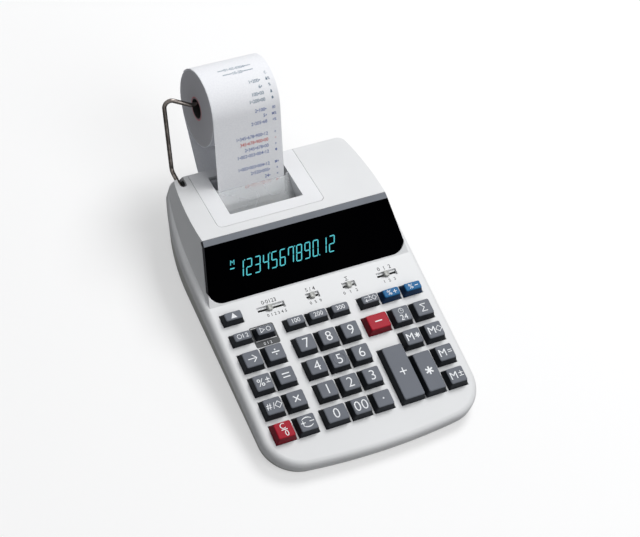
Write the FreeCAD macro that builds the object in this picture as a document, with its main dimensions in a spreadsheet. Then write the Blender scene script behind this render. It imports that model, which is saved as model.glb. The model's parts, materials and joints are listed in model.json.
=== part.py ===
import FreeCAD, Part
import math
import os
import re

# Desk printing calculator with a wire paper arm and a paper roll.
# Millimetres.  X to the right, Y away from the user, Z up, feet on Z = 0.
# The keyboard deck is a slope.  "Deck frame" means x, distance up the deck from the front
# edge, and height above the deck; every deck piece is built in it and then placed once.

Vector = FreeCAD.Vector

sizes = {
    # case
    "depthAll": 317.0, "caseWidth": 182.0, "caseLength": 258.2, "deckSlope": 8.0,
    "deckFrontHeight": 14.0,
    "frontBow": 560.0, "frontCorner": 31.0, "rearCorner": 13.0, "deckEdge": 4.5,
    "sideStraight": 178.0, "sideCurve": 215.0,
    "rimDepth": 10.0, "wall": 2.4, "hullTaper": 13.0, "hullDepth": 43.0, "footHeight": 2.5,
    # raised rear part that holds the display and the printer
    "lensFoot": 146.5, "crestBack": 190.2, "crestHeight": 24.3, "tailHeight": 7.8,
    "bevelLength": 5.0, "bevelRise": 1.3, "humpHalf": 86.3, "humpTaper": 17.0,
    "humpStraight": 185.0, "humpCurve": 255.0, "humpCorner": 10.0, "lensCorner": 12.0,
    "lensThick": 2.5, "lensGap": 0.1, "lensStart": 0.4, "tubeLength": 116.0,
    "tubeMiddle": -12.7, "tubeHeight": 24.0, "tubeDepth": 7.0,
    "tubeGap": 0.3, "tubeRise": 14.0, "tubeSetback": 4.0, "ribThick": 2.0,
    # keys: pitch, tops, skirts, travel
    "columnPitch": 19.0, "blockStep": 25.9, "columnMiddle": -9.5, "rowPitch": 20.2,
    "firstRow": 33.9, "smallRowStep": 19.85, "feedRowStep": 37.85, "keyTop": 13.4,
    "keyTopDeep": 12.3, "keyTopSmall": 6.3, "wideExtra": 3.5, "keyRise": 6.5,
    "keyFlare": 1.75, "keyEdge": 0.6, "keyGap": 0.35, "flangeOver": 0.8, "flangeThick": 1.2,
    "flangeGap": 0.3, "keyTravel": 2.5, "plungerSide": 4.0, "plungerDrop": 0.8,
    "padGap": 0.3, "pipHeight": 0.6, "padThick": 1.2, "boardThick": 1.6,
    # slide switches
    "switchRow": 132.8, "slotWide": 5.4, "knobLong": 3.8, "knobWide": 4.8, "knobRise": 1.8,
    "knobGap": 0.3, "knobFlangeOver": 1.2, "pocketDepth": 1.6, "slitWide": 1.8, "stemWide": 1.2,
    # printer cover and its opening
    "coverLeft": -61.2, "coverRight": 29.6, "coverFront": 198.3, "coverThick": 2.4,
    "coverGap": 0.3, "coverCorner": 4.0, "coverLedge": 2.2,
    "mouthLeft": -47.2, "mouthRight": 15.5, "mouthFront": 208.0, "mouthBack": 248.5,
    "mouthCorner": 0.8,
    # clear tear bar
    "tearBack": 234.0, "tearThick": 1.6, "tearSideGap": 0.5, "tearDrop": 0.8,
    "tearPin": 0.9, "pinGap": 0.05, "tearLong": 22.0, "tearEdge": 0.9, "tearArm": 1.4,
    "tearTilt": 30.0, "tearRib": 1.2, "mouthWall": 2.0, "mouthDeep": 12.0, "pinDeep": 1.6,
    # paper
    "tapeWidth": 57.0, "tapeMiddle": -16.0, "tapeThick": 0.25, "tapeLean": 27.1,
    "rollBack": 284.9, "rollHeight": 95.0,
    "rollRadius": 31.0, "rollBore": 7.8, "tapeLift": 0.6, "feedGap": 0.3, "stripGap": 0.32,
    # printer inside
    "platenRadius": 6.5, "platenHeight": 44.5, "platenShaft": 2.0, "plateThick": 1.6, "frameLeft": -58.0,
    "frameRight": 26.4, "frameFront": 198.0, "frameBack": 248.0, "frameFloor": 9.0,
    "frameTop": 50.5, "rodRadius": 2.0, "rodBack": 213.0, "rodHeight": 29.0,
    "carriageWide": 18.0, "carriageDeep": 14.0, "carriageTall": 16.0, "carriageRest": 10.0,
    "carriageTravel": 44.0, "inkRadius": 5.5, "inkTall": 7.0, "inkPin": 1.2, "runGap": 0.05,
    # paper arm
    "wireRadius": 1.7, "armSide": -68.4, "armPivotBack": 243.5, "armPivotHeight": 51.6,
    "armBendBack": 264.9, "armBendHeight": 51.0, "armTopBack": 292.5, "armTopHeight": 107.6,
    "armLean": 2.4,
    "armSlotFront": 245.5, "armSlotWide": 5.6, "lugThick": 2.5, "lugSpace": 3.2, "lugRadius": 3.9,
    # small parts
    "footRadius": 6.0, "screwRadius": 1.5, "screwHead": 2.8,
    "screwHeadTall": 1.6, "threadGap": 0.03, "bossRadius": 3.6, "slotGap": 0.2,
    "transformerWide": 34.0, "transformerDeep": 30.0, "transformerTall": 27.0,
    "inletRadius": 5.0, "inletX": 62.0, "inletHeight": 24.0,
}

doc = FreeCAD.newDocument("DeskCalculator")
sheet = doc.addObject("Spreadsheet::Sheet", "Sizes")
for row, (name, number) in enumerate(sizes.items(), start=1):
    sheet.set(f"A{row}", name)
    sheet.set(f"B{row}", str(number))
    sheet.setAlias(f"B{row}", name)
doc.recompute()
z = {name: float(sheet.get(name)) for name in sizes}

slope = math.radians(z["deckSlope"])
cosSlope, sinSlope = math.cos(slope), math.sin(slope)
originBack = "(depthAll / 2)"
yOrigin = z["depthAll"] / 2
deckInStand = FreeCAD.Placement(
    Vector(0, 0, z["deckFrontHeight"]), FreeCAD.Rotation(Vector(1, 0, 0), z["deckSlope"]))
standInWorld = FreeCAD.Placement(Vector(0, -yOrigin, 0), FreeCAD.Rotation())
deckInWorld = standInWorld.multiply(deckInStand)
subParts = {}


def bind(thing, settings):
    """Bind properties to the sheet: every size name in a formula becomes a cell of it."""
    for prop, formula in settings.items():
        text = re.sub(r"[A-Za-z]\w*", lambda m: f"Sizes.{m[0]}" if m[0] in sizes else m[0],
                      str(formula))
        thing.setExpression(prop, text)
    return thing


def box(name, x, y, height, dx, dy, dz):
    return bind(doc.addObject("Part::Box", name), {
        "Length": dx, "Width": dy, "Height": dz,
        "Placement.Base.x": x, "Placement.Base.y": y, "Placement.Base.z": height})


def rod(name, radius, length, x, y, height, along="z"):
    """A cylinder that starts at the point and runs along x, y or z."""
    thing = doc.addObject("Part::Cylinder", name)
    turn = {"x": (Vector(0, 1, 0), 90), "y": (Vector(1, 0, 0), -90), "z": (Vector(0, 0, 1), 0)}
    thing.Placement = FreeCAD.Placement(Vector(), FreeCAD.Rotation(*turn[along]))
    return bind(thing, {
        "Radius": radius, "Height": length,
        "Placement.Base.x": x, "Placement.Base.y": y, "Placement.Base.z": height})


def cut(name, base, *tools):
    thing = doc.addObject("Part::Cut", name)
    thing.Base = base
    thing.Tool = tools[0] if len(tools) == 1 else fuse(name + "Tools", *tools)
    return thing


def fuse(name, *pieces):
    thing = doc.addObject("Part::MultiFuse", name)
    thing.Shapes = list(pieces)
    return thing


def common(name, *pieces):
    thing = doc.addObject("Part::MultiCommon", name)
    thing.Shapes = list(pieces)
    return thing


def drawn(name, shape, placement=None):
    """A plain feature for an outline or a shape that no primitive gives."""
    thing = doc.addObject("Part::Feature", name)
    thing.Shape = shape
    if placement:
        thing.Placement = placement
    return thing


def extrude(name, base, direction, forward, back="0", taper=None, taperBack=None):
    thing = doc.addObject("Part::Extrusion", name)
    thing.Base = base
    thing.DirMode = "Custom"
    thing.Dir = direction
    thing.Solid = True
    bind(thing, {"LengthFwd": forward, "LengthRev": back})
    if taper:
        bind(thing, {"TaperAngle": taper})
    if taperBack:
        bind(thing, {"TaperAngleRev": taperBack})
    return thing


def subPart(label, thing, placement):
    thing.Label = label
    thing.Placement = placement
    subParts[label] = thing
    return thing


def polygon(points):
    """Closed face in the x = 0 plane from (y, z) pairs."""
    corners = [Vector(0, y, height) for y, height in points]
    return Part.Face(Part.makePolygon(corners + corners[:1]))


def across(name, points, low, high):
    """A (y, z) outline run along X from low to high."""
    shape = polygon(points)
    shape.translate(Vector(low, 0, 0))
    thing = drawn(name + "Outline", shape)
    solid = doc.addObject("Part::Extrusion", name)
    solid.Base = thing
    solid.DirMode = "Custom"
    solid.Dir = Vector(1, 0, 0)
    solid.LengthFwd = high - low
    solid.Solid = True
    return solid


# ---------------------------------------------------------------- outlines of the case

def caseOutline(inset):
    """Plan of the case: bowed front, round corners, sides that curve in towards the rear."""
    half = z["caseWidth"] / 2 - inset
    bow = z["frontBow"] - inset
    middle = z["frontBow"]
    front, rear = z["frontCorner"] - inset, z["rearCorner"] - inset
    back = z["caseLength"] - inset
    # the front corner circle lies inside the bow circle and touches the side
    cx = half - front
    cy = middle - math.sqrt((bow - front) ** 2 - cx ** 2)
    lean = math.atan2(cx, middle - cy)
    touch = Vector(bow * math.sin(lean), middle - bow * math.cos(lean), 0)
    cornerMid = Vector(cx, cy, 0) + Vector(
        math.cos((lean - math.pi / 2) / 2), math.sin((lean - math.pi / 2) / 2), 0) * front
    sideLow, sideHigh = Vector(half, cy, 0), Vector(half, z["sideStraight"], 0)
    # the side curve, and the rear corner circle inside it that touches the back
    curve = z["sideCurve"] - inset
    pivot = half - curve
    ry = back - rear
    rx = pivot + math.sqrt((curve - rear) ** 2 - (ry - z["sideStraight"]) ** 2)
    swing = math.atan2(ry - z["sideStraight"], rx - pivot)

    def onCurve(angle):
        return Vector(pivot + curve * math.cos(angle),
                      z["sideStraight"] + curve * math.sin(angle), 0)

    halfway = (swing + math.pi / 2) / 2
    rearMid = Vector(rx + rear * math.cos(halfway), ry + rear * math.sin(halfway), 0)
    rearEnd = Vector(rx, back, 0)
    curveMid, curveEnd = onCurve(swing / 2), onCurve(swing)

    def left(p):
        return Vector(-p.x, p.y, 0)

    edges = [
        Part.Arc(left(touch), Vector(0, middle - bow, 0), touch).toShape(),
        Part.Arc(touch, cornerMid, sideLow).toShape(),
        Part.LineSegment(sideLow, sideHigh).toShape(),
        Part.Arc(sideHigh, curveMid, curveEnd).toShape(),
        Part.Arc(curveEnd, rearMid, rearEnd).toShape(),
        Part.LineSegment(rearEnd, left(rearEnd)).toShape(),
        Part.Arc(left(rearEnd), left(rearMid), left(curveEnd)).toShape(),
        Part.Arc(left(curveEnd), left(curveMid), left(sideHigh)).toShape(),
        Part.LineSegment(left(sideHigh), left(sideLow)).toShape(),
        Part.Arc(left(sideLow), left(cornerMid), left(touch)).toShape()]
    return Part.Wire(edges)


def humpOutline(inset):
    """Plan of the raised rear part at deck level: straight sides that curve in to the rear."""
    half = z["humpHalf"] - inset
    radius = z["humpCurve"] - inset
    start, back = z["humpStraight"], z["caseLength"] - inset
    front = z["lensFoot"] - z["humpCorner"] * 2
    corner = z["humpCorner"] - inset
    # corner circle inside the side curve, touching the back
    cy = back - corner
    cx = half - radius + math.sqrt((radius - corner) ** 2 - (cy - start) ** 2)
    lean = math.atan2(cy - start, cx - (half - radius))
    touch = Vector(half - radius + radius * math.cos(lean), start + radius * math.sin(lean), 0)
    sideMid = Vector(half - radius + radius * math.cos(lean / 2),
                     start + radius * math.sin(lean / 2), 0)
    middle = (lean + math.pi / 2) / 2
    cornerMid = Vector(cx + corner * math.cos(middle), cy + corner * math.sin(middle), 0)
    end = Vector(cx, back, 0)
    low, high = Vector(half, front, 0), Vector(half, start, 0)

    def left(p):
        return Vector(-p.x, p.y, 0)

    edges = [
        Part.LineSegment(left(low), low).toShape(),
        Part.LineSegment(low, high).toShape(),
        Part.Arc(high, sideMid, touch).toShape(),
        Part.Arc(touch, cornerMid, end).toShape(),
        Part.LineSegment(end, left(end)).toShape(),
        Part.Arc(left(end), left(cornerMid), left(touch)).toShape(),
        Part.Arc(left(touch), left(sideMid), left(high)).toShape(),
        Part.LineSegment(left(high), left(low)).toShape()]
    return Part.Wire(edges)


# side profile of the raised part in the deck frame
crestSlope = (z["crestHeight"] - z["tailHeight"]) / (z["caseLength"] - z["crestBack"])
faceRun = z["crestBack"] - z["lensFoot"]
faceLength = math.hypot(faceRun, z["crestHeight"])
faceAngle = math.atan2(z["crestHeight"], faceRun)
along = (math.cos(faceAngle), math.sin(faceAngle))
outward = (-math.sin(faceAngle), math.cos(faceAngle))


def onFace(up, out):
    """Deck frame point at a distance up the display face and out of it."""
    return (z["lensFoot"] + along[0] * up + outward[0] * out, along[1] * up + outward[1] * out)


def topHeight(back, drop=0.0):
    """Height of the sloping top above the deck."""
    return z["crestHeight"] - (back - z["crestBack"]) * crestSlope - drop


fold = onFace(faceLength - z["bevelLength"], z["bevelRise"])
crest = (z["crestBack"], z["crestHeight"])
deep = -30.0


def humpProfile(faceInset, topInset):
    """Display face, bevel and top, moved inwards; it runs on past the back and the deck."""
    back = z["caseLength"] + 20.0
    low = onFace(-40.0, -faceInset)
    return [low, (fold[0] - outward[0] * faceInset, fold[1] - outward[1] * faceInset),
            (crest[0] + faceInset * 0.5, topHeight(crest[0] + faceInset * 0.5, topInset)),
            (back, topHeight(back, topInset)), (back, low[1])]


def humpBlock(name, inset, below):
    """Raised part with tapered sides, still without its display face and top."""
    plan = drawn(name + "Plan", humpOutline(inset))
    return extrude(name, plan, Vector(0, 0, 1), "crestHeight + 8", below, "-humpTaper")


def humpSolid(name, inset, faceInset, topInset, below):
    block = humpBlock(name + "Block", inset, below)
    side = across(name + "Side", humpProfile(faceInset, topInset), -100.0, 100.0)
    return common(name, block, side)


def edgesWhere(shape, test):
    return [i for i, edge in enumerate(shape.Edges, start=1) if test(edge)]


def fillet(name, base, radius, test):
    """Round the edges that pass the test; the base is computed first if it has to be."""
    if base.Shape.isNull():
        doc.recompute()
    thing = doc.addObject("Part::Fillet", name)
    thing.Base = base
    thing.Edges = [(i, radius, radius) for i in edgesWhere(base.Shape, test)]
    return thing


def turned(name, x, back, height, angle, dx, dy, dz):
    """A box turned about X, its corner at a point of the deck frame."""
    thing = doc.addObject("Part::Box", name)
    thing.Placement = FreeCAD.Placement(
        Vector(x, back, height), FreeCAD.Rotation(Vector(1, 0, 0), math.degrees(angle)))
    return bind(thing, {"Length": dx, "Width": dy, "Height": dz})


def faceBox(name, x, up, depth, dx, du, dd):
    """A box on the display face: up the face, and down from a depth under it."""
    return turned(name, x, *onFace(up, -depth - dd), faceAngle, dx, du, dd)


topAngle = -math.atan(crestSlope)


def topBox(name, x, back, drop, dx, dv, dz):
    """A box under the sloping top: from a drop under it, dz deep."""
    low = drop + dz
    base = (back + low * math.sin(topAngle), topHeight(back) - low * math.cos(topAngle))
    return turned(name, x, *base, topAngle, dx, dv / math.cos(topAngle), dz)


def grouped(name, *pieces):
    """Separate solids kept together, or one solid that already has a place of its own."""
    thing = doc.addObject("Part::Compound", name)
    thing.Links = list(pieces)
    return thing


def place(label, thing, frame):
    """Give a sub-part its name and its place, from the deck frame or the level frame."""
    subPart(label, thing, deckInWorld if frame == "deck" else standInWorld)
    bind(thing, {"Placement.Base.y": f"-{originBack}"})
    if frame == "deck":
        bind(thing, {"Placement.Base.z": "deckFrontHeight",
                     "Placement.Rotation.Angle": "deckSlope"})
    return thing


def floorIn(back, level):
    """Height in the deck frame of a level plane at a distance up the deck."""
    return (level - z["deckFrontHeight"]) / cosSlope - back * math.tan(slope)


# ---------------------------------------------------------------- keys and switches

columns = {letter: z["columnMiddle"] + offset for letter, offset in {
    "A": -z["blockStep"] - 2 * z["columnPitch"], "B": -z["blockStep"] - z["columnPitch"],
    "C": -z["columnPitch"], "D": 0.0, "E": z["columnPitch"],
    "F": z["columnPitch"] + z["blockStep"], "G": 2 * z["columnPitch"] + z["blockStep"],
    "H": 3 * z["columnPitch"] + z["blockStep"]}.items()}
smallRow = z["firstRow"] + 3 * z["rowPitch"] + z["smallRowStep"]
rows = [z["firstRow"] + 3 * z["rowPitch"] + z["feedRowStep"], smallRow,
        z["firstRow"] + 3 * z["rowPitch"], z["firstRow"] + 2 * z["rowPitch"],
        z["firstRow"] + z["rowPitch"], z["firstRow"]]
keyRows = {
    0: {"feed": "A"},
    1: {"mode": "A", "start": "B", "cost": "C", "sell": "D", "margin": "E", "convert": "F",
        "rate_plus": "G", "rate_minus": "H"},
    2: {"arrow": "A", "divide": "B", "7": "C", "8": "D", "9": "E", "minus": "F", "time": "G",
        "grand_total": "H"},
    3: {"percent": "A", "equals": "B", "4": "C", "5": "D", "6": "E", "memory_star": "G",
        "memory_diamond": "H"},
    4: {"item": "A", "times": "B", "1": "C", "2": "D", "3": "E", "memory_equals": "H"},
    5: {"clear": "A", "sign": "B", "0": "C", "00": "D", "point": "E", "memory_plus": "H"},
}
wideKeys = {"minus", "0"}
keys = {}
for number, names in keyRows.items():
    for name, letter in names.items():
        small = number == 1 or name == "feed"
        deep = z["keyTopSmall"] if small else z["keyTopDeep"]
        extra = z["wideExtra"] if name in wideKeys else 0.0
        keys[name] = (columns[letter] - extra / 2, rows[number], z["keyTop"] + extra, deep)
keys["plus"] = (34.0, 49.55, 17.0, 44.3)
keys["star"] = (columns["G"] - 0.35, 43.8, 14.1, 32.4)

deckBottom = -z["wall"]
flangeTop = deckBottom - z["flangeGap"]
flangeLow = flangeTop - z["flangeThick"]
plungerLow = flangeLow - z["plungerDrop"]
padTop = plungerLow - z["keyTravel"] - z["padGap"] - z["pipHeight"]
boardTop = padTop - z["padThick"]
boardLow = boardTop - z["boardThick"]

caps = {}
for name, (x, back, wide, deep) in keys.items():
    cap = doc.addObject("Part::Wedge", f"cap_{name}")
    cap.Placement = FreeCAD.Placement(
        Vector(x, back, 0), FreeCAD.Rotation(Vector(1, 0, 0), 90))
    bind(cap, {
        "Xmin": f"-{wide / 2} - keyFlare", "Xmax": f"{wide / 2} + keyFlare",
        "Zmin": f"-{deep / 2} - keyFlare", "Zmax": f"{deep / 2} + keyFlare",
        "Ymin": 0, "Ymax": "keyRise",
        "X2min": -wide / 2, "X2max": wide / 2, "Z2min": -deep / 2, "Z2max": deep / 2})
    caps[name] = cap
doc.recompute()

keyHoles, pips = [], []
for name, (x, back, wide, deep) in keys.items():
    rounded = fillet(f"rounded_{name}", caps[name], z["keyEdge"],
                     lambda edge: edge.BoundBox.ZMax > z["keyRise"] / 2)
    grow = "2 * keyFlare"
    skirt = box(f"skirt_{name}", f"{x - wide / 2} - keyFlare", f"{back - deep / 2} - keyFlare",
                flangeLow, f"{wide} + {grow}", f"{deep} + {grow}", -flangeLow)
    flange = box(f"flange_{name}", f"{x - wide / 2} - keyFlare",
                 f"{back - deep / 2} - keyFlare - flangeOver", flangeLow, f"{wide} + {grow}",
                 f"{deep} + {grow} + 2 * flangeOver", "flangeThick")
    plunger = box(f"plunger_{name}", f"{x} - plungerSide / 2", f"{back} - plungerSide / 2",
                  plungerLow, "plungerSide", "plungerSide", "plungerDrop")
    place(f"key_{name}", fuse(f"key_{name}", rounded, skirt, flange, plunger), "deck")
    keyHoles.append(box(
        f"hole_{name}", f"{x - wide / 2} - keyFlare - keyGap",
        f"{back - deep / 2} - keyFlare - keyGap", -20, f"{wide} + {grow} + 2 * keyGap",
        f"{deep} + {grow} + 2 * keyGap", 30))
    pips.append(rod(f"pip_{name}", "plungerSide / 2", "pipHeight", x, back, padTop))

knobs = {"decimal": (-51.6, -28.5, -41.2), "rounding": (-10.1, 1.2, -4.9),
         "total": (21.4, 32.9, 27.1), "power": (51.9, 69.4, 60.2)}
slots = []
for name, (low, high, x) in knobs.items():
    grip = box(f"grip_{name}", f"{x} - knobLong / 2", "switchRow - knobWide / 2",
               "knobGap - pocketDepth", "knobLong", "knobWide",
               "knobRise + pocketDepth - knobGap")
    stem = box(f"stem_{name}", f"{x} - knobLong / 2 + 0.4", "switchRow - stemWide / 2",
               flangeLow, "knobLong - 0.8", "stemWide", f"knobGap - pocketDepth - {flangeLow}")
    guide = box(f"guide_{name}", f"{x} - knobLong / 2",
                "switchRow - stemWide / 2 - knobFlangeOver", flangeLow, "knobLong",
                "stemWide + 2 * knobFlangeOver", "flangeThick")
    place(f"switch_{name}", fuse(f"switch_{name}", grip, stem, guide), "deck")
    slots.append(box(f"pocket_{name}", low, "switchRow - slotWide / 2", "-pocketDepth",
                     high - low, "slotWide", 5))
    slots.append(box(f"slit_{name}", low + 0.4, "switchRow - slitWide / 2", -20,
                     high - low - 0.8, "slitWide", 25))

# ---------------------------------------------------------------- shells of the case

rimPlan = drawn("rimPlan", caseOutline(0.0))
rimBlock = extrude("rimBlock", rimPlan, Vector(0, 0, -1), "rimDepth")
doc.recompute()
rim = fillet("rim", rimBlock, z["deckEdge"], lambda edge: edge.BoundBox.ZMin > -0.01)
hump = humpSolid("hump", 0.0, 0.0, 0.0, "deckEdge + 1")
upperOuter = fuse("upperOuter", rim, hump)
rimHollow = extrude("rimHollow", drawn("rimHollowPlan", caseOutline(z["wall"])),
                    Vector(0, 0, -1), "rimDepth + 5", "-wall")
humpHollow = humpSolid("humpHollow", z["wall"], z["lensThick"] + z["wall"], z["wall"],
                       "rimDepth + 5")
hollow = fuse("hollow", rimHollow, humpHollow)
upperShell = cut("upperShell", upperOuter, hollow)

# display lens and its seat
lensLow = z["lensStart"]


def lensProfile(grow, under):
    """Slab along the display face and its bevel, grown by a gap; open ahead for the seat."""
    thick = z["lensThick"] + grow
    top = (crest[0] + grow, topHeight(crest[0] + grow))
    topIn = (top[0] + 0.6, top[1] - thick)
    foldIn = (fold[0] - outward[0] * thick, fold[1] - outward[1] * thick)
    return [onFace(lensLow - grow, under),
            (fold[0] + outward[0] * under, fold[1] + outward[1] * under),
            (top[0] - 0.24 * under, top[1] + under), topIn, foldIn,
            onFace(lensLow - grow, -thick)]


def faceTablet(name, grow):
    """Tall box on the display face with its two lower corners rounded."""
    half = z["humpHalf"] - 1.2 + grow
    base = faceBox(name + "Box", -half, lensLow - grow, -8.0, 2 * half, 90, 20)
    doc.recompute()
    return fillet(name, base, z["lensCorner"] + grow,
                  lambda edge: abs(edge.Length - 20) < 0.1 and edge.BoundBox.YMax < 160)


lensBlank = common("lensBlank", humpBlock("lensPlan", 0.0, "deckEdge"),
                   across("lensSide", lensProfile(0.0, 0.0), -100.0, 100.0))
lens = common("lens", lensBlank, faceTablet("lensTablet", 0.0))
seatBlank = common("seatBlank", humpBlock("seatPlan", -3.0, "deckEdge + 1"),
                   across("seatSide", lensProfile(z["lensGap"], 4.0), -100.0, 100.0))
seat = common("seat", seatBlank, faceTablet("seatTablet", z["lensGap"]))
window = faceBox("window", z["tubeMiddle"] - z["tubeLength"] / 2 + 4, z["tubeRise"] - 4, 0,
                 "tubeLength - 8", "tubeHeight - 2", z["lensThick"] + z["wall"] + 1)
tubeDepthIn = z["lensThick"] + z["wall"] + z["tubeSetback"]
tube = faceBox("tube", z["tubeMiddle"] - z["tubeLength"] / 2, z["tubeRise"] - 5, tubeDepthIn,
               "tubeLength", "tubeHeight", z["tubeDepth"])
pocket = faceBox("pocket", z["tubeMiddle"] - z["tubeLength"] / 2 - 1,
                 z["tubeRise"] - 5 - z["tubeGap"], tubeDepthIn - z["tubeGap"], "tubeLength + 2",
                 "tubeHeight + 2 * tubeGap", z["tubeDepth"] + 2 * z["tubeGap"])
ribs = [faceBox(f"tubeRib{i}", z["tubeMiddle"] + side * (z["tubeLength"] / 2 - 8), 3.0,
                z["lensThick"] + 1, "ribThick", "tubeHeight + 10",
                z["wall"] + z["tubeSetback"] + z["tubeDepth"] + 3)
        for i, side in enumerate((-1, 1))]
footBar = box("footBar", -80, "lensFoot - 3", "-wall - 2", 160, 9, 2.2)
place("display_lens", lens, "deck")
place("display_tube", grouped("tubeSet", tube), "deck")

# printer cover, its seat and ledge in the top of the case
coverWide = z["coverRight"] - z["coverLeft"]
coverLong = z["caseLength"] - z["coverFront"] + 20
coverGap = z["coverGap"]


def frontRounded(name, base, radius, tall):
    """Round the two upright front corners of a box that lies on the sloping top."""
    doc.recompute()
    return fillet(name, base, radius, lambda edge: abs(edge.Length - tall) < 0.1
                  and edge.BoundBox.XLength < 0.1 and edge.BoundBox.YMax < z["coverFront"] + 4)


coverSlab = frontRounded("coverSlab", topBox(
    "coverSlabBox", z["coverLeft"], z["coverFront"], 0, coverWide, coverLong,
    z["coverThick"]), z["coverCorner"], z["coverThick"])
coverBlank = common("coverBlank", humpBlock("coverPlan", 0.0, "1"), coverSlab)
coverSeat = frontRounded("coverSeat", topBox(
    "coverSeatBox", z["coverLeft"] - coverGap, z["coverFront"] - coverGap, -3,
    coverWide + 2 * coverGap, coverLong, z["coverThick"] + 3), z["coverCorner"] + coverGap,
    z["coverThick"] + 3)
ledge = common(
    "ledge", humpBlock("ledgePlan", 1.0, "1"),
    topBox("ledgeSlab", z["coverLeft"] - 3, z["coverFront"] - 3, z["coverThick"] - 0.5,
           coverWide + 6, coverLong, z["wall"] + 0.5))
openingInset = z["coverLedge"]
opening = topBox("opening", z["coverLeft"] + openingInset, z["coverFront"] + openingInset, -1,
                 coverWide - 2 * openingInset,
                 z["caseLength"] - z["wall"] - 4.5 - z["coverFront"] - openingInset, 12)
mouthWide = z["mouthRight"] - z["mouthLeft"]
mouthBox = topBox("mouthBox", z["mouthLeft"], z["mouthFront"], -2, mouthWide,
                  z["mouthBack"] - z["mouthFront"], 8)
doc.recompute()
mouth = fillet("mouth", mouthBox, z["mouthCorner"],
               lambda edge: edge.BoundBox.XLength < 0.1 and edge.Length < 9)
pinDrop = z["tearDrop"] + z["tearThick"] / 2
pinBack = (z["tearBack"] + pinDrop * math.sin(topAngle),
           topHeight(z["tearBack"]) - pinDrop * math.cos(topAngle))
mouthWalls = [topBox(f"mouthWall{i}", x, z["mouthFront"] + 1, z["coverThick"] - 0.5,
                     "mouthWall", z["mouthBack"] - z["mouthFront"] - 2,
                     z["mouthDeep"] - z["coverThick"])
              for i, x in enumerate((z["mouthLeft"] - z["mouthWall"], z["mouthRight"]))]
pinHoles = [rod(f"pinHole{i}", "tearPin + pinGap", "pinDeep + 0.2 + 1", x, *pinBack, "x")
            for i, x in enumerate(("mouthLeft - pinDeep - 0.2", "mouthRight - 1"))]
cover = cut("cover", fuse("coverWhole", coverBlank, *mouthWalls), mouth, *pinHoles)
place("printer_cover", cover, "deck")

# clear tear bar: it hangs from two pins at its back and slopes down to the front
tearLeft = z["mouthLeft"] + z["tearSideGap"]
tearWide = mouthWide - 2 * z["tearSideGap"]
tearAngle = topAngle + math.radians(z["tearTilt"])


def tearBox(name, x, forward, low, dx, long, thick):
    """A box in the bar's own frame: from a distance ahead of the pins, above the middle."""
    run, rise = -forward - long, low
    base = (pinBack[0] + run * math.cos(tearAngle) - rise * math.sin(tearAngle),
            pinBack[1] + run * math.sin(tearAngle) + rise * math.cos(tearAngle))
    return turned(name, x, *base, tearAngle, dx, long, thick)


halfTear = z["tearThick"] / 2
plate = tearBox("tearPlate", tearLeft, z["tearEdge"], -halfTear, tearWide, z["tearLong"],
                z["tearThick"])
arms = [tearBox(f"tearSide{i}", x, -z["tearPin"], -halfTear, z["tearArm"],
                z["tearEdge"] + z["tearPin"] + 1, z["tearThick"])
        for i, x in enumerate((tearLeft, tearLeft + tearWide - z["tearArm"]))]
tearRibs = [tearBox(f"tearRib{i}", tearLeft + 2, forward, halfTear - 0.2, 40, z["tearRib"],
                    z["tearRib"]) for i, forward in enumerate((12.0, 16.5))]
pins = [rod(f"tearPinEnd{i}", "tearPin", "pinDeep + tearSideGap + 0.5", x, *pinBack, "x")
        for i, x in enumerate(("mouthLeft - pinDeep",
                               "mouthRight - tearSideGap - 0.5"))]
place("tear_bar", fuse("tearBar", plate, *arms, *tearRibs, *pins), "deck")

# arm slot, lugs, screw bosses; these parts are built level and turned into the deck frame
levelInDeck = deckInStand.inverse()


def level(thing):
    """A level thing seen from the deck frame."""
    moved = doc.addObject("Part::Compound", thing.Name + "Level")
    moved.Links = [thing]
    moved.Placement = levelInDeck
    return moved


armX, armY, armZ = z["armSide"], z["armPivotBack"], z["armPivotHeight"]
slotBack = z["armSlotFront"] * cosSlope - 1.5
slotRound = slotBack + z["armSlotWide"] / 2
armSlot = level(fuse("armSlot",
                     box("armSlotRun", "armSide - armSlotWide / 2", slotRound,
                         "armPivotHeight - 3.2", "armSlotWide", 27, 30),
                     rod("armSlotEnd", "armSlotWide / 2", 30, "armSide", slotRound,
                         "armPivotHeight - 3.2")))
lugSolids = []
for i, side in enumerate((-1, 1)):
    x = armX + side * (z["lugSpace"] + z["lugThick"] / 2) - z["lugThick"] / 2
    x += 0.05 if side > 0 else 0
    lugSolids.append(box(f"lug{i}", x, "armPivotBack - lugRadius", "armPivotHeight", "lugThick",
                         "2 * lugRadius", 12))
    lugSolids.append(rod(f"lugEnd{i}", "lugRadius", "lugThick", x, "armPivotBack",
                         "armPivotHeight", "x"))
lugs = common("lugs", level(fuse("lugPair", *lugSolids)), humpBlock("lugPlan", 1.0, "20"),
              across("lugSide", humpProfile(3.0, 1.0), -100.0, 100.0))
axleHole = level(rod("axleHole", "wireRadius + runGap", 16, "armSide - 8", "armPivotBack",
                     "armPivotHeight", "x"))
screwSpots = {"FL": (-60, 14.0), "FR": (60, 14.0), "RL": (-72, 196.0), "RR": (72, 196.0)}
bosses, shankHoles, lowerHoles, headHoles, shanks = [], [], [], [], []
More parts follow.
